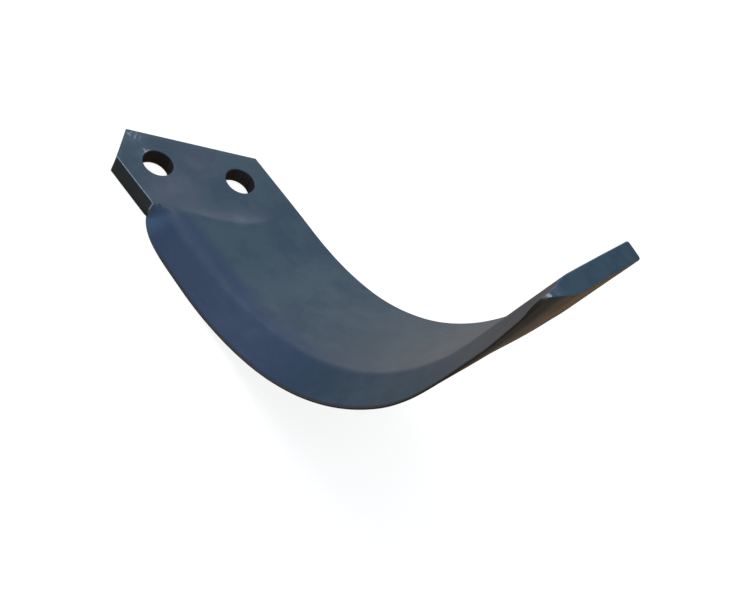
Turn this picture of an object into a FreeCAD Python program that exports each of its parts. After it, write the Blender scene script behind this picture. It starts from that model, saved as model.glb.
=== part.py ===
# Stone burier blade: one forged steel blade that bolts to the rotor flange of a
# stone burier. A flat bar is drawn out to a bevelled cutting edge along one side,
# cut to a slanted shank end with two bolt holes, and bent up in one wide bend.
#
# Frame, in millimetres: origin midway between the two bolt holes on the flat
# outer face of the shank, +X along the bar towards the wing, +Y towards the back
# edge, +Z through the thickness towards the inner, bevelled face and the wing.
#
# The bar is described on its flat pattern: s is the length along it from the
# origin, w the place across it, h the height above the outer face.
import math
import os

import FreeCAD
import Part

# bar stock
bar_width = 80.0
bar_thickness = 10.0

# bolt holes of the shank
hole_diameter = 17.0
hole_spacing = 47.0
hole_line_angle = 56.4

# shank end
end_margin = 20.0
corner_run = 15.5
corner_rise = 17.3
corner_radius = 1.5

# forged cutting edge
shoulder_at = 9.4
shoulder_run = 12.0
edge_drawn_root = 11.0
edge_drawn_wing = 8.1
edge_land = 1.0
bevel_width_root = 18.5
bevel_width_wing = 21.0
ramp_angle = 53.0
ramp_lean = 22.0

# change from the root to the wing along the flat pattern
blend_from = 50.0
blend_to = 190.0

# hollow of the back edge, which the drawn edge pulls the bar into
hollow_depth = 10.8
hollow_from = 45.0
hollow_to = 318.0

# bend
bend_from = 56.5
bend_inner_radius = 122.0
bend_angle = 82.5

# wing end
wing_length = 283.0
wing_end_slant = 9.15
nose_from = 215.0
nose_rise = 4.9
nose_power = 1.5
nose_width = 22.0

# room by which a cutting body passes the metal
over = 6.0

half_width = bar_width / 2
hole_radius = hole_diameter / 2
neutral_radius = bend_inner_radius + bar_thickness / 2
outer_radius = bend_inner_radius + bar_thickness
bend_length = neutral_radius * math.radians(bend_angle)
bend_to = bend_from + bend_length
edge_length = wing_length + (bar_width + edge_drawn_wing) * math.tan(math.radians(wing_end_slant))
tool_length = edge_length + 2 * over
UP = FreeCAD.Vector(0, 0, 1)


def smooth(a, b, s):
    # 0 before a, 1 after b, and a smooth rise between them
    u = min(max((s - a) / (b - a), 0.0), 1.0)
    return u * u * (3 - 2 * u)


def back(s):
    # place of the back edge across the bar
    u = min(max((s - hollow_from) / (hollow_to - hollow_from), 0.0), 1.0)
    return half_width - hollow_depth * math.sin(math.pi * u) ** 2


def drawn(s):
    # how far the full edge stands out past the bar's own width
    return edge_drawn_root + (edge_drawn_wing - edge_drawn_root) * smooth(blend_from, blend_to, s)


def edge(s):
    # place of the cutting edge, which runs out from the shoulder
    run_out = 1 - math.exp(-(s - shoulder_at) / shoulder_run)
    return back(s) - bar_width - drawn(s) * run_out


def crest(s):
    # place of the line where the inner face meets the bevel
    bevel = bevel_width_root + (bevel_width_wing - bevel_width_root) * smooth(blend_from, blend_to, s)
    return back(s) - bar_width - drawn(s) + bevel


def nose(s):
    # height of the lower side of the cutting edge above the outer face
    return nose_rise * max((s - nose_from) / (edge_length - nose_from), 0.0) ** nose_power


def place(s, w, h):
    # point of the bent bar for a point of the flat pattern
    turn = min(max((s - bend_from) / neutral_radius, 0.0), math.radians(bend_angle))
    past = max(s - bend_to, 0.0)
    x = min(s, bend_from) + (outer_radius - h) * math.sin(turn) + past * math.cos(turn)
    z = outer_radius - (outer_radius - h) * math.cos(turn) + past * math.sin(turn)
    return FreeCAD.Vector(x, w, z)


def spaced(a, b, count):
    return [a + (b - a) * i / (count - 1) for i in range(count)]


def section(s, corners):
    points = [place(s, w, h) for w, h in corners]
    return Part.makePolygon(points + points[:1])


def loft(stations, profile):
    return Part.makeLoft([section(s, profile(s)) for s in stations], True, False)


def curve(function, stations):
    line = Part.BSplineCurve()
    line.interpolate([FreeCAD.Vector(s, function(s), 0) for s in stations])
    return line.toShape()


def plate():
    # flat part of the bar, from the shank end to the start of the bend
    along = FreeCAD.Vector(math.cos(math.radians(hole_line_angle)), math.sin(math.radians(hole_line_angle)), 0)
    across = FreeCAD.Vector(along.y, -along.x, 0)
    start = across * -end_margin
    top = start + along * ((half_width - start.y) / along.y)
    low = start + along * ((corner_rise - half_width - start.y) / along.y)
    foot = FreeCAD.Vector(low.x + corner_run, -half_width, 0)
    shoulder = FreeCAD.Vector(shoulder_at, -half_width, 0)
    back_start = FreeCAD.Vector(hollow_from, half_width, 0)
    back_line = curve(back, spaced(hollow_from, bend_from, 4))
    edge_line = curve(edge, [shoulder_at + (bend_from - shoulder_at) * (i / 9.0) ** 1.6 for i in range(10)])
    seam_back = FreeCAD.Vector(bend_from, back(bend_from), 0)
    seam_edge = FreeCAD.Vector(bend_from, edge(bend_from), 0)
    lines = [
        Part.makeLine(top, back_start),
        back_line,
        Part.makeLine(seam_back, seam_edge),
        edge_line,
        Part.makeLine(shoulder, foot),
        Part.makeLine(foot, low),
        Part.makeLine(low, top),
    ]
    outline = Part.Wire(Part.__sortEdges__(lines))
    body = Part.Face(outline).extrude(UP * bar_thickness)
    corners = [e for e in body.Edges if upright_at(e, (top, low, foot))]
    return body.makeFillet(corner_radius, corners)


def upright_at(line, points):
    first = line.Vertexes[0].Point
    last = line.Vertexes[-1].Point
    if abs(first.z - last.z) < bar_thickness / 2:
        return False
    return any(math.hypot(first.x - p.x, first.y - p.y) < 1e-3 for p in points)


def bend_and_wing():
    # bent bar of constant thickness, trimmed to the back edge and the cutting edge
    far = tool_length + over
    turn = math.radians(bend_angle)
    half_turn_s = bend_from + bend_length / 2
    side = Part.Wire([
        Part.Arc(place(bend_from, 0, 0), place(half_turn_s, 0, 0), place(bend_to, 0, 0)).toShape(),
        Part.makeLine(place(bend_to, 0, 0), place(far, 0, 0)),
        Part.makeLine(place(far, 0, 0), place(far, 0, bar_thickness)),
        Part.makeLine(place(far, 0, bar_thickness), place(bend_to, 0, bar_thickness)),
        Part.Arc(place(bend_to, 0, bar_thickness), place(half_turn_s, 0, bar_thickness),
                 place(bend_from, 0, bar_thickness)).toShape(),
        Part.makeLine(place(bend_from, 0, bar_thickness), place(bend_from, 0, 0)),
    ])
    wide = bar_width
    blank = Part.Face(side).extrude(FreeCAD.Vector(0, 2 * wide, 0))
    blank.translate(FreeCAD.Vector(0, -wide, 0))

    def outline(s):
        low, high = -over, bar_thickness + over
        return [(edge(s), low), (back(s), low), (back(s), high), (edge(s), high)]

    stations = spaced(bend_from, bend_to, 13) + spaced(bend_to, tool_length, 5)[1:]
    return blank.common(loft(stations, outline))


def bevel_tool():
    # body above the bevel, open at the wing end and ended by the ramp at the shoulder
    def profile(s):
        fall = bar_thickness - edge_land - nose(s)
        slope = fall / (crest(s) - edge(s))
        inner = crest(s) + over / slope / 2
        outer = edge(s) - over
        top = bar_thickness + 2 * over
        return [(inner, bar_thickness + over / 2), (outer, bar_thickness - fall - slope * over),
                (outer, top), (inner, top)]

    stations = [shoulder_at - 4, shoulder_at, shoulder_at + 4, shoulder_at + 9, shoulder_at + 16,
                shoulder_at + 25, shoulder_at + 36]
    stations += spaced(bend_from, bend_to, 13) + spaced(bend_to, tool_length, 5)[1:]
    body = loft(stations, profile)
    size = 4 * bar_width
    keep = Part.makeBox(size, size, size, FreeCAD.Vector(0, -size / 2, -size / 2))
    keep.rotate(FreeCAD.Vector(0, 0, 0), FreeCAD.Vector(0, 1, 0), -ramp_lean)
    keep.rotate(FreeCAD.Vector(0, 0, 0), UP, ramp_angle - 90)
    keep.translate(FreeCAD.Vector(shoulder_at, -half_width, bar_thickness))
    wing = Part.makeBox(size, size, size, FreeCAD.Vector(bend_from, -size / 2, -size / 2))
    return body.common(keep.fuse(wing))


def nose_tool():
    # body below the outer face that turns its edge side up towards the wing end
    def profile(s):
        gap = 0.3
        rise = nose(s) - gap
        slope = (rise + gap) / nose_width
        return [(edge(s) + nose_width, -gap), (edge(s) - over, rise + slope * over),
                (edge(s) - over, -2 * over), (edge(s) + nose_width, -2 * over)]

    return loft(spaced(nose_from, bend_to, 8) + spaced(bend_to, tool_length, 5)[1:], profile)


def end_tool():
    # everything past the slanted wing end
    along = (place(wing_length + 50, 0, 0) - place(wing_length, 0, 0)).normalize()
    normal = (place(wing_length, 0, 1) - place(wing_length, 0, 0)).normalize()
    back_corner = place(wing_length, half_width, 0)
    slant = math.tan(math.radians(wing_end_slant))
    reach = 2 * bar_width
    near = back_corner + FreeCAD.Vector(0, over, 0) - along * (slant * over)
    far = back_corner - FreeCAD.Vector(0, reach, 0) + along * (slant * reach)
    corners = [near, far, far + along * reach, near + along * reach]
    face = Part.Face(Part.makePolygon(corners + corners[:1]))
    face.translate(normal * -(bar_thickness + over))
    return face.extrude(normal * (3 * bar_thickness + 2 * over))


def blade():
    body = plate().fuse(bend_and_wing())
    body = body.cut(bevel_tool())
    body = body.cut(nose_tool())
    body = body.cut(end_tool())
    for side in (-1, 1):
        reach = side * hole_spacing / 2
        x = reach * math.cos(math.radians(hole_line_angle))
        y = reach * math.sin(math.radians(hole_line_angle))
        hole = Part.makeCylinder(hole_radius, bar_thickness + 2 * over, FreeCAD.Vector(x, y, -over))
        body = body.cut(hole)
    body = body.removeSplitter()
    return body.Solids[0] if len(body.Solids) == 1 else body


os.makedirs("parts", exist_ok=True)
shape = blade()
shape.exportStep("parts/blade.step")
print("solids", len(shape.Solids), "valid", shape.isValid(), "volume", round(shape.Volume, 1))
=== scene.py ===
# Looks of a stone burier blade: one forged and bent steel blade under a satin
# slate-blue paint, on a plain floor in soft light.
#
# The blade is shaped as the smith shapes it. A flat bar is drawn out to a thin edge,
# then bent. Its flat pattern is in millimetres: x is the length along the bar from
# the middle between the bolt holes, y the place across it, z the height above the
# outer face. The last step turns it to metres, in the frame of the CAD model.
#
# A span of two numbers says where a form or mark goes from none to full, or back. A
# stretch of four says where it starts, is full, starts to fade and is gone.
import math

import bpy
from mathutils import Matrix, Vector, noise


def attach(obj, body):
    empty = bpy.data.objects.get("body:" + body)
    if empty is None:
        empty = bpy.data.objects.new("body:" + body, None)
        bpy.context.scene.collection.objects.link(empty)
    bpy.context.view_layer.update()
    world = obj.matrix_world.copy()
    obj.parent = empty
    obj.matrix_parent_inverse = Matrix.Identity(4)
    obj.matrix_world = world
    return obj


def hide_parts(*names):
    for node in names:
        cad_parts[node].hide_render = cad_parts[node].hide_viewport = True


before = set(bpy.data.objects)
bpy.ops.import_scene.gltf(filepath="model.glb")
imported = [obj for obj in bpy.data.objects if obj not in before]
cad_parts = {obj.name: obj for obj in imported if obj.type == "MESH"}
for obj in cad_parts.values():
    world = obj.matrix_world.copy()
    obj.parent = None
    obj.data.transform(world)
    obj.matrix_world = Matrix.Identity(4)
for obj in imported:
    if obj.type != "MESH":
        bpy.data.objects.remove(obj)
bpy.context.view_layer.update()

MM = 0.001

# how near counts as at a place, and the share by which a limit is passed or missed so
# that it takes in all of a rim or none
CLOSE = 1.0
HAIR = 0.01

# bar stock
BAR_WIDTH = 80.0
BAR_THICKNESS = 10.0
HALF_WIDTH = BAR_WIDTH / 2

# rounded rims, of which those of the back edge are crisper at the shank
RIM_RADIUS = 0.5
RIM_STEPS = 3
SHARP_ANGLE = math.radians(25)
SMOOTH_ANGLE = math.radians(40)
BACK_RIM_RADIUS = 1.6
BACK_RIM_STEPS = 5
SHANK_RIM_SHARE = 0.3

# bolt holes
HOLE_RADIUS = 8.5
HOLE_SPACING = 47.0
HOLE_LINE_ANGLE = math.radians(56.4)
HOLE_SIDES = 96
HOLE_RIM = 0.6
HOLE_RIM_STEPS = 4
DRILL_OVERRUN = 3.0

# shank end with its cut corner
END_MARGIN = 20.0
CORNER_RUN = 15.5
CORNER_RISE = 17.3
CORNER_ROW = CORNER_RISE - HALF_WIDTH

# rows of the bar through the back corner, the cut corner and the foot
ROWS = (HALF_WIDTH, CORNER_ROW, -HALF_WIDTH)

# the shear left its sides leaning: how far the outer face is cut back, along and across,
# at each of those rows, and how far the side leans both ways between foot and shoulder
SHEAR_LEAN = ((0.0, 0.0), (0.495, 0.765), (1.17, 0.0))
WALL_LEAN = 0.6
WALL_LEAN_ENDS = (-2.0, 1.0)
WALL_LEAN_DEPTH = (0.0, 8.0)

# forged cutting edge, from the root at the shoulder to the wing
SHOULDER_AT = 9.4
SHOULDER_RUN = 12.0
EDGE_DRAWN_ROOT = 11.0
EDGE_DRAWN_WING = 8.1
BEVEL_WIDTH_ROOT = 18.5
BEVEL_WIDTH_WING = 21.0
BLEND_SPAN = (50.0, 190.0)
CREST_SOFTNESS_ROOT = 2.9
CREST_SOFTNESS_WING = 0.5
CREST_SOFTNESS_SPAN = (30.0, 110.0)
EDGE_LAND = 0.8
BLUNT_LAND = 1.1
BLUNT_STRETCH = (280.0, 290.0, 293.0, 299.0)

# forging line, where the dies ended across the shank: its place along the bar is a sum
# of powers of the place up from the foot, a lip runs along it, and past it the ramp goes
# down to the bevel and a shallow dish lies in the inner face
LINE_POWERS = (8.5, 0.706, 0.00652, -0.000154)
LINE_TOP = 56.0
LINE_SLANT = 0.8
RAMP_SPAN = (-0.4, 3.6)
LIP_HEIGHT = 0.32
LIP_STRETCH = (-11.0, -0.4, -0.4, 2.6)
DISH_DEPTH = 0.16
DISH_STRETCH = (-0.4, 6.0, 10.0, 40.0)
LIP_FADE = (4.0, 26.0)

# hollow of the back edge
HOLLOW_DEPTH = 10.8
HOLLOW_FROM = 45.0
HOLLOW_TO = 318.0

# bend
BEND_FROM = 56.5
BEND_INNER_RADIUS = 122.0
BEND_ANGLE = math.radians(82.5)
BEND_OUTER_RADIUS = BEND_INNER_RADIUS + BAR_THICKNESS
BEND_MIDDLE_RADIUS = BEND_INNER_RADIUS + BAR_THICKNESS / 2
BEND_TO = BEND_FROM + BEND_MIDDLE_RADIUS * BEND_ANGLE

# wing end, whose lower side turns up towards the edge, and the relief before it
WING_LENGTH = 283.0
WING_SLANT = math.tan(math.radians(9.15))
WING_END_ROUNDS = 6
NOSE_FROM = 215.0
NOSE_RISE = 4.9
NOSE_POWER = 1.5
NOSE_WIDTH = 22.0
NOSE_SOFTNESS = 0.15
RELIEF = 1.45
RELIEF_STRETCH = (195.0, 230.0, 232.0, 264.0)
RELIEF_FADE = (32.0, 72.0)

# waves that the hammer left: layer of the noise, length and height
FORGING_WAVES = ((0.0, 38.0, 0.16), (9.0, 13.0, 0.05))
WAVES_SPAN = (20.0, 50.0)

# cuts that divide the bar before it is forged
CUTS_ALONG = 300
CUTS_BEVEL = 20
CUTS_FACE = 44
CUTS_WALL = 5

# where the columns of the mesh go: the share of them before a place, and that place,
# from the forging line for the first two, which takes a few rounds to find
BEFORE_LINE = (0.14, -4.0)
PAST_LINE = (0.22, 8.0)
MID_BEND = (0.5, 125.0)
CREST_ROW_SPAN = (3.0, 18.0)
LAY_OUT_ROUNDS = 5

# rise of the normal from which a face counts as inner, and its fall for the outer one
FACING = (0.2, 0.6)

# the bevel starts past the forging line and ends at the crest; the painted shade and blue reflection
# of its tilted face reach further up and are mostly lost towards the wing
BEVEL_STARTS = (-0.4, 3.0)
BEVEL_ENDS = (-3.0, 1.5)
BLUE_ENDS = (4.0, 13.0)
BLUE_LOSS = 0.8
BLUE_LOSS_SPAN = (110.0, 170.0)

# spots have a place, a radius and a strength
# painted light on the ramp where the bevel starts, which faces away from the lamps
LIT_START_SPOT = ((SHOULDER_AT + 2, -HALF_WIDTH - 1), 15.0, 1.0)
LIT_START_SPAN = (-0.4, 0.8)
SHOULDER_SPOT = ((SHOULDER_AT, -HALF_WIDTH), 1.8, 1.0)
SHOULDER_UP = (3.0, 5.0)
BLOOM_SPOTS = (((4.0, -22.0), 25.0, 0.85), ((-6.0, 3.0), 19.0, 0.65))
SCUFF_SPOTS = (((-34.0, -22.0), 12.0, 0.56), ((-22.0, -24.0), 8.0, 0.26), ((35.0, 1.0), 7.0, 0.45))
BRIGHT_RIM_SPOT = ((-21.0, -23.0), 9.0, 0.8)
# painted glints on worn paint at the tip: these two are measured along the bar and in from the cutting
# edge
TIP_GLINT_SPOTS = (((297.0, 0.5), 5.0, 1.0), ((297.0, 8.0), 8.0, 0.45))

# painted highlight on the band before the forging line, and a paler painted highlight along its lip
BAND_HIGHLIGHT = 0.52
BAND_STRETCH = (-12.0, -4.0, -0.6, 1.2)
BAND_FADE = (8.0, 30.0)
LIP_HIGHLIGHT_STRETCH = (-5.0, -2.0, -0.8, 0.8)
LIP_HIGHLIGHT_ACROSS = (-32.0, -12.0, 10.0, 22.0)

# painted sheen on the inner face of the wing, where it turns to grazing light, and less of it on the
# bevel
SHEEN_ON_FACE = 0.92
SHEEN_SPAN = (105.0, 215.0)
SHEEN_ON_BEVEL = 0.42
BEVEL_SHEEN_SPAN = (120.0, 240.0)
BEVEL_SHEEN_LOSS = 0.6
BEVEL_SHEEN_LOSS_SPAN = (250.0, 285.0)

# soil on the outer face of the wing, with a painted warm reflection of the ground
SOIL_SPAN = (200.0, 265.0)
SOIL_INWARD = (6.0, 26.0)

# dark scale and painted shade in the holes, painted shade on the shank's side and along the cutting
# edge, and painted shadow under the wing, there as strength, span along the bar and span in from the
# edge
BORE_SPAN = (0.02, 0.22)
SIDE_SHADE = 0.45
SIDE_SHADE_SPAN = (14.0, 20.0)
EDGE_LINE_SHADE = 0.8
EDGE_LINE_SPAN = (20.0, 40.0)
EDGE_LINE_INWARD = (0.5, 1.5)
EDGE_LINE_UP = (1.6, 2.6)
UNDER_SHADOW = ((0.45, (238.0, 262.0), (6.0, 12.0)), (0.62, (180.0, 205.0), (4.0, 15.0)))

# wear on the rims: a little on all, most on the inner one from foot to shoulder, and a
# bright arc round one hole
RIM_WEAR = 0.3
CORNER_LINE_SPAN = (8.0, 14.0)
CORNER_LINE_ACROSS = (-36.0, -33.0)
CORNER_LINE_UP = (5.0, 9.0)
BORE_RIM_STRETCH = (0.1, 0.4, 0.6, 1.4)

# colours of the paint, of what lies on it and of what shows through it, and of the light and shade
# painted on it
SLATE_DEEP = "#2f4e64"
SLATE_LIGHT = "#3b586a"
BEVEL_SHADE_BLUE = "#28466a"
LIT_START_BLUE = "#56779c"
BLOOM_AND_HIGHLIGHT_GREY = "#5d637a"
LIP_HIGHLIGHT_GREY = "#7a8698"
SHEEN_GREY = "#838c97"
SOIL_AND_REFLECTION_BROWN = "#96694a"
SCALE_AND_SHADE_BLACK = "#3b3531"
RUBBED_BLUE = "#70859a"
WORN_AND_GLINT_BRIGHT = "#b4c4d6"

# room: the floor, the soft light all round, and the lamps with their place and size in
# metres, their power in watts and their colour
FLOOR_SIZE = 8
FLOOR_LEVEL = -0.0003
FLOOR_GREY = (0.35, 0.35, 0.35, 1)
FLOOR_GLOW = 0.88
GROUND_BROWN = "#c2a27b"
ROOM_COLOUR = (0.80, 0.90, 1.0, 1)
ROOM_STRENGTH = 0.22
WHITE = (1, 1, 1, 1)
LAMPS_AIM = (0.09, 0.0, 0.04)
LAMPS = (
    ("top_softbox", (0.15, -0.05, 1.5), 1.2, 6.5, "#f4f8ff"),
    ("left_softbox", (-1.0, 0.1, 1.1), 1.0, 5.0, "#f2f6ff"),
    ("back_softbox", (-0.55, 0.85, 1.0), 1.1, 1.4, "#fff6ea"),
    ("low_back_panel", (-0.9, 0.9, 0.35), 1.0, 1.8, "#fff6ea"),
)

# camera at the photograph's place, turned by degrees
CAMERA_LENS = 54.886
CAMERA_SENSOR = 36.0
CAMERA_PLACE = (0.24378, -0.39167, 0.43683)
CAMERA_TURN = (39.782, -27.522, 46.445)

# what an operator may select in edit mode
EDGES = (False, True, False)
FACES = (False, False, True)


def linear(code):
    # linear colour of an sRGB hex value
    parts = [int(code[i:i + 2], 16) / 255 for i in (1, 3, 5)]
    return tuple(c / 12.92 if c <= 0.04045 else ((c + 0.055) / 1.055) ** 2.4 for c in parts) + (1.0,)


def rise(low, high, value):
    # 0 below low, 1 above high, smooth between
    u = min(max((value - low) / (high - low), 0.0), 1.0)
    return u * u * (3 - 2 * u)


def hump(start, full, fading, gone, value):
    # 0 outside a stretch, 1 inside it, smooth at both ends
    return rise(start, full, value) * (1 - rise(fading, gone, value))


def between(marks, values, mark):
    # value at a mark, on straight lines from value to value
    for i in range(len(marks) - 1):
        part = (mark - marks[i]) / (marks[i + 1] - marks[i])
        if part <= 1 or i == len(marks) - 2:
            return values[i] + (values[i + 1] - values[i]) * part


def soft_lower(a, b, width):
    # lower of two heights, with their meeting line rounded
    u = max(width - abs(a - b), 0.0) / width
    return min(a, b) - u * u * width / 4


def root_to_wing(root, wing, span, x):
    # value that changes along the bar
    return root + (wing - root) * rise(*span, x)


def back_edge(x):
    u = min(max((x - HOLLOW_FROM) / (HOLLOW_TO - HOLLOW_FROM), 0.0), 1.0)
    return HALF_WIDTH - HOLLOW_DEPTH * math.sin(math.pi * u) ** 2


def full_edge(x):
    # where the cutting edge would run if it had no shoulder
    return back_edge(x) - BAR_WIDTH - root_to_wing(EDGE_DRAWN_ROOT, EDGE_DRAWN_WING, BLEND_SPAN, x)


def cutting_edge(x):
    if x < SHOULDER_AT:
        return -HALF_WIDTH
    run_out = 1 - math.exp(-(x - SHOULDER_AT) / SHOULDER_RUN)
    undrawn = back_edge(x) - BAR_WIDTH
    return undrawn + (full_edge(x) - undrawn) * run_out


def crest(x):
    # line where the flat inner face meets the bevel
    return full_edge(x) + root_to_wing(BEVEL_WIDTH_ROOT, BEVEL_WIDTH_WING, BLEND_SPAN, x)


def crest_row(x):
    # the row of the mesh that follows the crest starts from the cut corner of the shank
    return CORNER_ROW + (crest(x) - CORNER_ROW) * rise(*CREST_ROW_SPAN, x)


def forging_line(y):
    up = min(y + HALF_WIDTH, LINE_TOP)
    return sum(share * up ** power for power, share in enumerate(LINE_POWERS))


def past_line(x, y):
    # how far a point lies past the forging line, square to it
    return (x - forging_line(y)) * LINE_SLANT


def land(x):
    # thickness of the cutting edge, which is worn blunt near the wing end
    return EDGE_LAND + BLUNT_LAND * hump(*BLUNT_STRETCH, x)


def underside(x, y):
    # height of the outer face, which turns up under the cutting edge of the wing
    inward = max(y - cutting_edge(x), 0.0)
    relief = RELIEF * hump(*RELIEF_STRETCH, x) * (1 - rise(*RELIEF_FADE, inward))
    if x <= NOSE_FROM:
        return relief
    last = WING_LENGTH + (HALF_WIDTH - full_edge(WING_LENGTH)) * WING_SLANT
    lift = NOSE_RISE * ((x - NOSE_FROM) / (last - NOSE_FROM)) ** NOSE_POWER
    return relief - soft_lower(lift * (inward / NOSE_WIDTH - 1), 0.0, NOSE_SOFTNESS * lift)


def topside(x, y):
    # height of the inner face: flat, down the bevel to the edge, and up the ramp to the shank
    edge = cutting_edge(x)
    low = land(x) + underside(x, edge)
    slope = (BAR_THICKNESS - low) / (crest(x) - edge)
    softness = root_to_wing(CREST_SOFTNESS_ROOT, CREST_SOFTNESS_WING, CREST_SOFTNESS_SPAN, x)
    bevelled = soft_lower(BAR_THICKNESS, low + (y - edge) * slope, softness)
    past = past_line(x, y)
    forged = BAR_THICKNESS - (BAR_THICKNESS - bevelled) * rise(*RAMP_SPAN, past)
    lip = LIP_HEIGHT * hump(*LIP_STRETCH, past)
    dish = DISH_DEPTH * hump(*DISH_STRETCH, past)
    return forged + (lip - dish) * (1 - rise(*LIP_FADE, y))


def row_place(x, y):
    # place across the forged pattern of a row of the bar
    row = crest_row(x)
    if y < CORNER_ROW:
        low = cutting_edge(x)
        return low + (row - low) * (y + HALF_WIDTH) / CORNER_RISE
    return row + (back_edge(x) - row) * (y - CORNER_ROW) / (HALF_WIDTH - CORNER_ROW)


def lay_out(x, y):
    # place on the forged pattern of a point of the bar: the columns of the mesh turn along
    # the forging line, where the ramp needs them, and a row follows the crest
    first, last = (between(ROWS, ends, y) for ends in ENDS)
    part = (x - first) / (last - first)
    marks = (0.0, BEFORE_LINE[0], PAST_LINE[0], MID_BEND[0], 1.0)
    across = y
    for _ in range(LAY_OUT_ROUNDS):
        line = forging_line(across)
        places = (first, line + BEFORE_LINE[1], line + PAST_LINE[1], MID_BEND[1], last)
        along = between(marks, places, part)
        across = row_place(along, y)
    return along, across


def forge(x, y, z):
    # point of the forged flat pattern for a point of the bar
    x, y = lay_out(x, y)
    sheared = 1 - rise(*WALL_LEAN_ENDS, x - SHOULDER_AT)
    sheared *= 1 - rise(*WALL_LEAN_DEPTH, y - cutting_edge(x))
    y -= WALL_LEAN * sheared * (1 - 2 * z / BAR_THICKNESS)
    bottom = underside(x, y)
    z = bottom + (topside(x, y) - bottom) * z / BAR_THICKNESS
    waves = 0.0
    for layer, length, height in FORGING_WAVES:
        waves += noise.noise(Vector((x, y, layer)) / length) * height
    return x, y, z + waves * rise(*WAVES_SPAN, x)


def bend(x, y, z):
    # point of the bent blade for a point of the forged flat pattern
    turn = min(max((x - BEND_FROM) / BEND_MIDDLE_RADIUS, 0.0), BEND_ANGLE)
    past = max(x - BEND_TO, 0.0)
    along = min(x, BEND_FROM) + (BEND_OUTER_RADIUS - z) * math.sin(turn) + past * math.cos(turn)
    up = BEND_OUTER_RADIUS - (BEND_OUTER_RADIUS - z) * math.cos(turn) + past * math.sin(turn)
    return along, y, up


def shank_outline():
    # back corner, cut corner and foot of the shank end
    along = Vector((math.cos(HOLE_LINE_ANGLE), math.sin(HOLE_LINE_ANGLE)))
    start = Vector((-along.y, along.x)) * END_MARGIN
    back = start + along * ((HALF_WIDTH - start.y) / along.y)
    cut = start + along * ((CORNER_ROW - start.y) / along.y)
    return back.x, cut.x, cut.x + CORNER_RUN


def wing_outline():
    # back corner, end of the crest and tip of the cutting edge of the wing end
    found = []
    for line in (back_edge, crest, cutting_edge):
        x = WING_LENGTH
        for _ in range(WING_END_ROUNDS):
            x = WING_LENGTH + (HALF_WIDTH - line(x)) * WING_SLANT
        found.append(x)
    return found


ENDS = (shank_outline(), wing_outline())


def hole_places():
    # middles of the two bolt holes, the lower one first
    for side in (-1, 1):
        reach = side * HOLE_SPACING / 2
        yield reach * math.cos(HOLE_LINE_ANGLE), reach * math.sin(HOLE_LINE_ANGLE)


def deselect():
    bpy.ops.object.select_all(action="DESELECT")


def clear_selection(kind):
    # leaves the active piece in object mode, where its edges or faces are selected in code
    bpy.ops.object.mode_set(mode="EDIT")
    bpy.context.tool_settings.mesh_select_mode = kind
    bpy.ops.mesh.select_all(action="DESELECT")
    bpy.ops.object.mode_set(mode="OBJECT")


def select_edges(piece, wanted):
    # leaves the piece in edit mode with the edges selected whose two ends suit
    clear_selection(EDGES)
    points = piece.data.vertices
    for edge in piece.data.edges:
        a, b = (points[i].co for i in edge.vertices)
        edge.select = wanted(a, b)
    bpy.ops.object.mode_set(mode="EDIT")


def select_cap(piece, way):
    # leaves the piece in edit mode with the end face selected, which looks straight up or
    # down, and no face of the flare at its other end
    clear_selection(FACES)
    for face in piece.data.polygons:
        face.select = face.normal.z * way > 1 - HAIR
    bpy.ops.object.mode_set(mode="EDIT")


# which edges of the bar are wanted, by their two ends
def runs_along(a, b):
    return abs(a.x - b.x) > WING_LENGTH / 2


def runs_along_back(a, b):
    return runs_along(a, b) and min(a.y, b.y) > HALF_WIDTH - CLOSE


def crosses_bevel(a, b):
    return abs(a.y - b.y) > BAR_THICKNESS and a.y + b.y < 2 * CORNER_ROW


def crosses_face(a, b):
    return abs(a.y - b.y) > BAR_THICKNESS and a.y + b.y > 2 * CORNER_ROW


def runs_up(a, b):
    return abs(a.z - b.z) > BAR_THICKNESS / 2


def slant_ends(bar):
    # sends the corners of the bar to the outlines of the shank end and the wing end
    for point in bar.data.vertices:
        at_shank = point.co.x < WING_LENGTH / 2
        row = [abs(point.co.y - place) < CLOSE for place in ROWS].index(True)
        point.co.x = ENDS[0][row] if at_shank else ENDS[1][row]
        if at_shank and point.co.z < BAR_THICKNESS / 2:
            point.co.x += SHEAR_LEAN[row][0]
            point.co.y += SHEAR_LEAN[row][1]


def crisp_back_rims(bar):
    # draws the back rims closer to their corners at the shank
    for point in bar.data.vertices:
        height = 0.0 if point.co.z < BAR_THICKNESS / 2 else BAR_THICKNESS
        if point.co.x < WING_LENGTH / 2 and point.co.y > HALF_WIDTH - BACK_RIM_RADIUS * (1 + HAIR):
            point.co.y = HALF_WIDTH - (HALF_WIDTH - point.co.y) * SHANK_RIM_SHARE
            point.co.z = height - (height - point.co.z) * SHANK_RIM_SHARE
            point.co.x = between(ROWS, ENDS[0], point.co.y)


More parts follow.
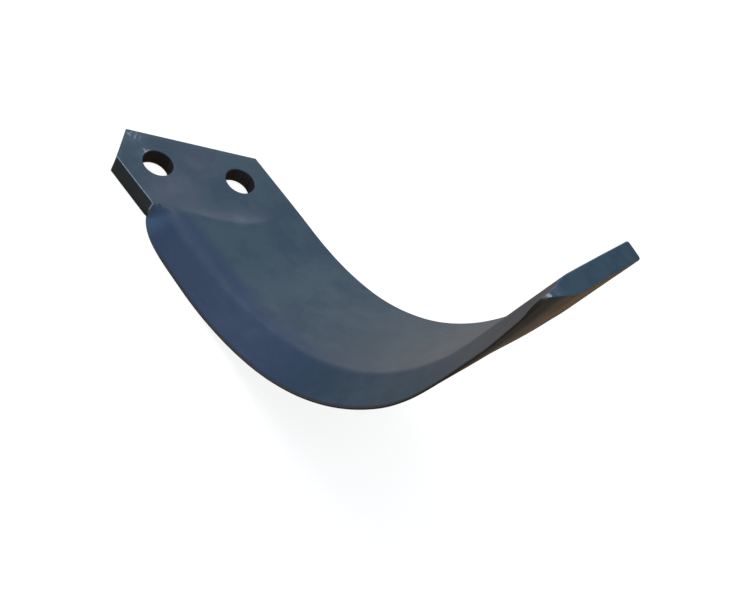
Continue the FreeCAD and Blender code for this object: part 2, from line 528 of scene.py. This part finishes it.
def cut_bar():
    # flat bar with slanted ends and rounded rims, divided finely enough to be forged
    bpy.ops.mesh.primitive_cube_add(size=1, location=(WING_LENGTH / 2, 0, BAR_THICKNESS / 2))
    bar = bpy.context.active_object
    bar.name = "forged_blade"
    bar.data.name = "forged_blade"
    bar.scale = (WING_LENGTH, BAR_WIDTH, BAR_THICKNESS)
    bpy.ops.object.transform_apply(location=True, rotation=True, scale=True)
    bpy.ops.object.mode_set(mode="EDIT")
    bpy.ops.mesh.select_all(action="SELECT")
    bpy.ops.mesh.bisect(plane_co=(0, CORNER_ROW, 0), plane_no=(0, 1, 0))
    bpy.ops.object.mode_set(mode="OBJECT")
    slant_ends(bar)
    select_edges(bar, runs_along_back)
    bpy.ops.mesh.bevel(offset=BACK_RIM_RADIUS, segments=BACK_RIM_STEPS, affect="EDGES")
    bpy.ops.object.mode_set(mode="OBJECT")
    crisp_back_rims(bar)
    bpy.ops.object.mode_set(mode="EDIT")
    bpy.ops.mesh.select_all(action="DESELECT")
    bpy.ops.mesh.edges_select_sharp(sharpness=SHARP_ANGLE)
    bpy.ops.mesh.bevel(offset=RIM_RADIUS, segments=RIM_STEPS, affect="EDGES")
    for wanted, count in (
        (runs_along, CUTS_ALONG),
        (crosses_bevel, CUTS_BEVEL),
        (crosses_face, CUTS_FACE),
        (runs_up, CUTS_WALL),
    ):
        select_edges(bar, wanted)
        bpy.ops.mesh.subdivide(number_cuts=count)
    bpy.ops.object.mode_set(mode="OBJECT")
    return bar


def drill_bit(x, y):
    # cylinder whose two ends flare to the holes' rounded rims and run on out of the blade
    bpy.ops.mesh.primitive_cylinder_add(
        vertices=HOLE_SIDES,
        radius=HOLE_RADIUS,
        depth=BAR_THICKNESS - 2 * HOLE_RIM,
        location=(x, y, BAR_THICKNESS / 2),
    )
    bit = bpy.context.active_object
    bpy.ops.object.transform_apply(location=True, rotation=True, scale=True)
    for way in (-1, 1):
        select_cap(bit, way)
        radius = HOLE_RADIUS
        height = 0.0
        for step in range(1, HOLE_RIM_STEPS + 1):
            turn = math.radians(90) * step / HOLE_RIM_STEPS
            next_radius = HOLE_RADIUS + HOLE_RIM * (1 - math.cos(turn))
            next_height = HOLE_RIM * math.sin(turn)
            bpy.ops.mesh.extrude_region_move(
                TRANSFORM_OT_translate={"value": (0, 0, way * (next_height - height))})
            bpy.ops.transform.resize(value=(next_radius / radius, next_radius / radius, 1))
            radius = next_radius
            height = next_height
        bpy.ops.mesh.extrude_region_move(TRANSFORM_OT_translate={"value": (0, 0, way * DRILL_OVERRUN)})
        bpy.ops.object.mode_set(mode="OBJECT")
    return bit


def drill(blade):
    for x, y in hole_places():
        deselect()
        bit = drill_bit(x, y)
        cut = blade.modifiers.new("bolt_hole", "BOOLEAN")
        cut.operation = "DIFFERENCE"
        cut.solver = "EXACT"
        cut.object = bit
        deselect()
        blade.select_set(True)
        bpy.context.view_layer.objects.active = blade
        bpy.ops.object.modifier_apply(modifier=cut.name)
        bpy.data.objects.remove(bit)


def near(x, y, spot, radius, strength):
    # full strength in the middle of a spot of the flat pattern, 0 from its radius on
    return strength * (1 - rise(0.0, radius, math.hypot(x - spot[0], y - spot[1])))


def strongest(x, y, spots):
    # strength of whichever spot is strongest there
    return max(near(x, y, *spot) for spot in spots)


def paint_marks(x, y, z, up, rim):
    # how much of each mark, of the paint or of the light and shade painted on it, a point of the
    # forged flat pattern carries, where up is the height of its normal and rim is 1 on a rounded rim
    inner = rise(*FACING, up)
    outer = rise(*FACING, -up)
    wall = 1 - inner - outer
    inward = y - cutting_edge(x)
    past = past_line(x, y)
    from_crest = y - crest(x)
    from_bore = min(math.hypot(x - a, y - b) for a, b in hole_places()) - HOLE_RADIUS

    # painted shade and blue reflection on the bevel, which tilts away from the lamps
    begun = inner * rise(*BEVEL_STARTS, past)
    bevel = begun * (1 - rise(*BEVEL_ENDS, from_crest))
    bevel_shade = begun * (1 - rise(*BLUE_ENDS, from_crest)) * (1 - BLUE_LOSS * rise(*BLUE_LOSS_SPAN, x))
    # painted light where the ramp at the bevel's start faces away from the lamps
    start = near(x, y, *LIT_START_SPOT) * rise(*LIT_START_SPAN, past) * rise(SHOULDER_AT, SHOULDER_AT + 1, x)
    # painted highlight on the band before the forging line and along its lip
    band = BAND_HIGHLIGHT * hump(*BAND_STRETCH, past) * (1 - rise(*BAND_FADE, y))
    lip = hump(*LIP_HIGHLIGHT_STRETCH, past) * hump(*LIP_HIGHLIGHT_ACROSS, y)
    # painted sheen where the wing's inner face and its bevel turn to grazing light
    bevel_sheen = SHEEN_ON_BEVEL * rise(*BEVEL_SHEEN_SPAN, x)
    bevel_sheen *= 1 - BEVEL_SHEEN_LOSS * rise(*BEVEL_SHEEN_LOSS_SPAN, x)
    painted_sheen = SHEEN_ON_FACE * rise(*SHEEN_SPAN, x) * (1 - bevel) + bevel_sheen * bevel
    # soil with a painted warm reflection of the ground on the outer face of the wing
    soil_and_reflection = rise(*SOIL_SPAN, x) * rise(*SOIL_INWARD, inward)

    # painted glint on worn paint at the tip of the cutting edge
    tip_glint = strongest(x, inward, TIP_GLINT_SPOTS)
    corner_line = (1 - rise(*CORNER_LINE_SPAN, x)) * (1 - rise(*CORNER_LINE_ACROSS, y))
    corner_line *= rise(*CORNER_LINE_UP, z)
    shoulder = near(x, y, *SHOULDER_SPOT) * rise(*SHOULDER_UP, z)
    bore_rim = near(x, y, *BRIGHT_RIM_SPOT) * hump(*BORE_RIM_STRETCH, from_bore)
    rubbed = max(bore_rim, strongest(x, y, SCUFF_SPOTS))

    # dark scale and painted shade in the bores, painted shade on the shank's side and along the
    # cutting edge, painted shadow under the wing
    bore = 1 - rise(*BORE_SPAN, from_bore)
    side = SIDE_SHADE * wall * (1 - rise(*SIDE_SHADE_SPAN, x))
    edge_line = EDGE_LINE_SHADE * rise(*EDGE_LINE_SPAN, x) * (1 - rise(*EDGE_LINE_INWARD, inward))
    edge_line *= (1 - rise(*EDGE_LINE_UP, z - underside(x, y))) * (1 - tip_glint)
    under = max(scale_and_shade * rise(*span, x) * (1 - rise(*fade, inward)) for scale_and_shade, span, fade in UNDER_SHADOW)
    return {
        "bevel": bevel_shade,
        "start": start * (1 - outer),
        "bloom_and_band_highlight": inner * max(band, strongest(x, y, BLOOM_SPOTS)),
        "lip": inner * lip,
        "painted_sheen": inner * painted_sheen,
        "soil_and_reflection": outer * soil_and_reflection,
        "scale_and_shade": max(bore, side, edge_line, outer * under),
        "wear_and_glint": max(rim * max(corner_line, RIM_WEAR), inner * rubbed, (1 - outer) * tip_glint, shoulder),
    }


def mark_rims(blade):
    # 1 at the points of the rounded rims along the bar, 0 where the flat faces begin
    rim = blade.data.attributes.new("rim", "FLOAT", "POINT")
    inset = RIM_RADIUS * (1 - HAIR)
    for point in blade.data.vertices:
        near_side = HALF_WIDTH - abs(point.co.y) < inset
        near_face = min(point.co.z, BAR_THICKNESS - point.co.z) < inset
        rim.data[point.index].value = 1.0 if near_side and near_face else 0.0


def mark_paint(blade):
    # one attribute for each mark, which the paint's nodes read
    rim = blade.data.attributes["rim"].data
    points = blade.data.vertices
    marks = [paint_marks(*point.co, point.normal.z, rim[point.index].value) for point in points]
    for name in marks[0]:
        layer = blade.data.attributes.new(name, "FLOAT", "POINT")
        for index, mark in enumerate(marks):
            layer.data[index].value = mark[name]


def make_blade():
    deselect()
    blade = cut_bar()
    mark_rims(blade)
    for point in blade.data.vertices:
        point.co = forge(*point.co)
    drill(blade)
    mark_paint(blade)
    for point in blade.data.vertices:
        point.co = bend(*point.co)
    blade.scale = (MM, MM, MM)
    bpy.ops.object.transform_apply(location=True, rotation=True, scale=True)
    bpy.ops.object.shade_smooth_by_angle(angle=SMOOTH_ANGLE)
    return blade


def add_node(tree, kind, inputs, **settings):
    # adds a node, sets what is given, and links what is an output of another node
    added = tree.nodes.new(kind)
    for name, value in settings.items():
        setattr(added, name, value)
    for name, value in inputs.items():
        if isinstance(value, bpy.types.NodeSocket):
            tree.links.new(value, added.inputs[name])
        else:
            added.inputs[name].default_value = value
    return added


def satin_paint():
    # Satin alkyd paint, dipped over forged steel: it softens the scale and the hammer marks
    # below, and its greyish bloom and scuffs make the slate blue patchy.
    material = bpy.data.materials.new("satin_slate_paint_over_forged_steel")
    material.use_nodes = True
    tree = material.node_tree
    surface = tree.nodes["Principled BSDF"]
    place = add_node(tree, "ShaderNodeTexCoord", {}).outputs["Object"]

    def spread(value, low, high):
        # 0 below low, 1 above high, smooth between
        ends = {"Value": value, "From Min": low, "From Max": high}
        return add_node(tree, "ShaderNodeMapRange", ends, interpolation_type="SMOOTHSTEP").outputs[0]

    def grain(size, detail, low, high):
        # soft noise whose patches are about a size in millimetres
        settings = {"Vector": place, "Scale": 1 / (size * MM), "Detail": detail, "Roughness": 0.6}
        return spread(add_node(tree, "ShaderNodeTexNoise", settings).outputs["Fac"], low, high)

    def mark(name):
        return add_node(tree, "ShaderNodeAttribute", {}, attribute_name=name).outputs["Fac"]

    def product(a, b):
        return add_node(tree, "ShaderNodeMath", {0: a, 1: b}, operation="MULTIPLY").outputs[0]

    def raised(base, share, by):
        # base value, raised by a share of another
        terms = {0: by, 1: share, 2: base}
        return add_node(tree, "ShaderNodeMath", terms, operation="MULTIPLY_ADD").outputs[0]

    def over(colour, share, code):
        # colour with a share of another laid over it
        coats = {0: share, 6: colour, 7: linear(code)}
        return add_node(tree, "ShaderNodeMix", coats, data_type="RGBA").outputs[2]

    # the tint drifts over a finger's width, bloom and dust over a fingertip's, scuffs break
    # up into specks, and below the coat's orange peel lie the marks of the hammer
    blotches = grain(size=26.0, detail=4.0, low=0.42, high=0.60)
    patches = grain(size=9.0, detail=3.0, low=0.37, high=0.65)
    specks = grain(size=1.6, detail=2.0, low=0.40, high=0.62)
    peel = grain(size=1.7, detail=1.0, low=0.30, high=0.70)
    hammer = grain(size=11.0, detail=2.0, low=0.30, high=0.70)

    # slate blue in two close shades, with painted shade and blue reflection on the bevel and painted
    # light where that starts
    colour = over(linear(SLATE_DEEP), blotches, SLATE_LIGHT)
    colour = over(colour, mark("bevel"), BEVEL_SHADE_BLUE)
    colour = over(colour, product(mark("start"), 0.9), LIT_START_BLUE)
    # bloom in clouds with a painted highlight on the band, a paler painted highlight on the lip, a
    # painted sheen on the inner face of the wing, and soil with a painted warm reflection on its outer
    # one
    bloom_and_highlight = product(mark("bloom_and_band_highlight"), raised(base=0.45, share=0.45, by=patches))
    lip_highlight = product(mark("lip"), raised(base=0.22, share=0.06, by=patches))
    sheened = product(mark("painted_sheen"), raised(base=0.70, share=0.16, by=patches))
    soiled_and_reflecting = product(mark("soil_and_reflection"), raised(base=0.42, share=0.15, by=blotches))
    colour = over(colour, bloom_and_highlight, BLOOM_AND_HIGHLIGHT_GREY)
    colour = over(colour, lip_highlight, LIP_HIGHLIGHT_GREY)
    colour = over(colour, sheened, SHEEN_GREY)
    colour = over(colour, soiled_and_reflecting, SOIL_AND_REFLECTION_BROWN)
    # dark scale and painted shade, then rims and scuffs rubbed pale, with bright specks where most is
    # worn off and a painted glint at the tip
    colour = over(colour, mark("scale_and_shade"), SCALE_AND_SHADE_BLACK)
    colour = over(colour, product(mark("wear_and_glint"), 0.5), RUBBED_BLUE)
    worn = spread(raised(base=mark("wear_and_glint"), share=0.45, by=specks), low=0.72, high=1.12)
    colour = over(colour, worn, WORN_AND_GLINT_BRIGHT)
    tree.links.new(colour, surface.inputs["Base Color"])

    # satin gloss, duller under the painted sheen and most of all under scale and painted shade
    dullness = raised(base=0.38, share=0.10, by=patches)
    dullness = raised(base=dullness, share=0.12, by=sheened)
    dullness = raised(base=dullness, share=0.35, by=mark("scale_and_shade"))
    tree.links.new(dullness, surface.inputs["Roughness"])
    surface.inputs["IOR"].default_value = 1.5

    # orange peel of the dipped coat over hammer marks, which the bevel has fewer of
    uneven = product(hammer, raised(base=1.0, share=-0.7, by=mark("bevel")))
    height = raised(base=uneven, share=0.10, by=peel)
    bump = add_node(tree, "ShaderNodeBump", {"Height": height, "Strength": 0.4, "Distance": 0.25 * MM})
    tree.links.new(bump.outputs[0], surface.inputs["Normal"])
    return material


def by_camera(tree, others, camera):
    # one shader for what the camera sees, another for all other rays
    path = add_node(tree, "ShaderNodeLightPath", {})
    shaders = {0: path.outputs["Is Camera Ray"], 1: others.outputs[0], 2: camera.outputs[0]}
    return add_node(tree, "ShaderNodeMixShader", shaders).outputs[0]


def pale_floor():
    # White to the camera, with the blade's shadow. All other rays meet a dull warm ground,
    # those of reflections too: the paint is neither metal nor glass, and the real blade
    # mirrors such a ground in the faces that look down.
    material = bpy.data.materials.new("pale_floor")
    material.use_nodes = True
    tree = material.node_tree
    tree.nodes.clear()
    seen = add_node(tree, "ShaderNodeBsdfDiffuse", {"Color": FLOOR_GREY})
    glow = add_node(tree, "ShaderNodeEmission", {"Color": WHITE, "Strength": FLOOR_GLOW})
    bright = add_node(tree, "ShaderNodeAddShader", {0: seen.outputs[0], 1: glow.outputs[0]})
    dull = add_node(tree, "ShaderNodeBsdfDiffuse", {"Color": linear(GROUND_BROWN)})
    add_node(tree, "ShaderNodeOutputMaterial", {"Surface": by_camera(tree, dull, bright)})
    return material


def lay_floor():
    deselect()
    bpy.ops.mesh.primitive_plane_add(size=FLOOR_SIZE, location=(0, 0, FLOOR_LEVEL))
    floor = bpy.context.active_object
    floor.name = "floor"
    floor.data.materials.append(pale_floor())


def light_world():
    # soft cool light all round, white behind the floor to the camera
    world = bpy.data.worlds.new("soft_room")
    bpy.context.scene.world = world
    world.use_nodes = True
    tree = world.node_tree
    tree.nodes.clear()
    room = add_node(tree, "ShaderNodeBackground", {"Color": ROOM_COLOUR, "Strength": ROOM_STRENGTH})
    white = add_node(tree, "ShaderNodeBackground", {"Color": WHITE, "Strength": 1.0})
    add_node(tree, "ShaderNodeOutputWorld", {"Surface": by_camera(tree, room, white)})


def hang_lamp(name, place, size, power, code):
    data = bpy.data.lights.new(name, "AREA")
    data.shape = "SQUARE"
    data.size = size
    data.energy = power
    data.color = linear(code)[:3]
    lamp = bpy.data.objects.new(name, data)
    lamp.location = place
    lamp.rotation_euler = (Vector(LAMPS_AIM) - Vector(place)).to_track_quat("-Z", "Y").to_euler()
    bpy.context.collection.objects.link(lamp)


def set_camera():
    data = bpy.data.cameras.new("camera")
    data.lens = CAMERA_LENS
    data.sensor_width = CAMERA_SENSOR
    camera = bpy.data.objects.new("camera", data)
    camera.location = CAMERA_PLACE
    camera.rotation_euler = [math.radians(turn) for turn in CAMERA_TURN]
    bpy.context.collection.objects.link(camera)
    bpy.context.scene.camera = camera


set_camera()
light_world()
lay_floor()
for lamp in LAMPS:
    hang_lamp(*lamp)

blade = make_blade()
blade.data.materials.append(satin_paint())
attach(blade, "root")
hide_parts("blade")

bpy.context.scene.view_settings.view_transform = "Standard"
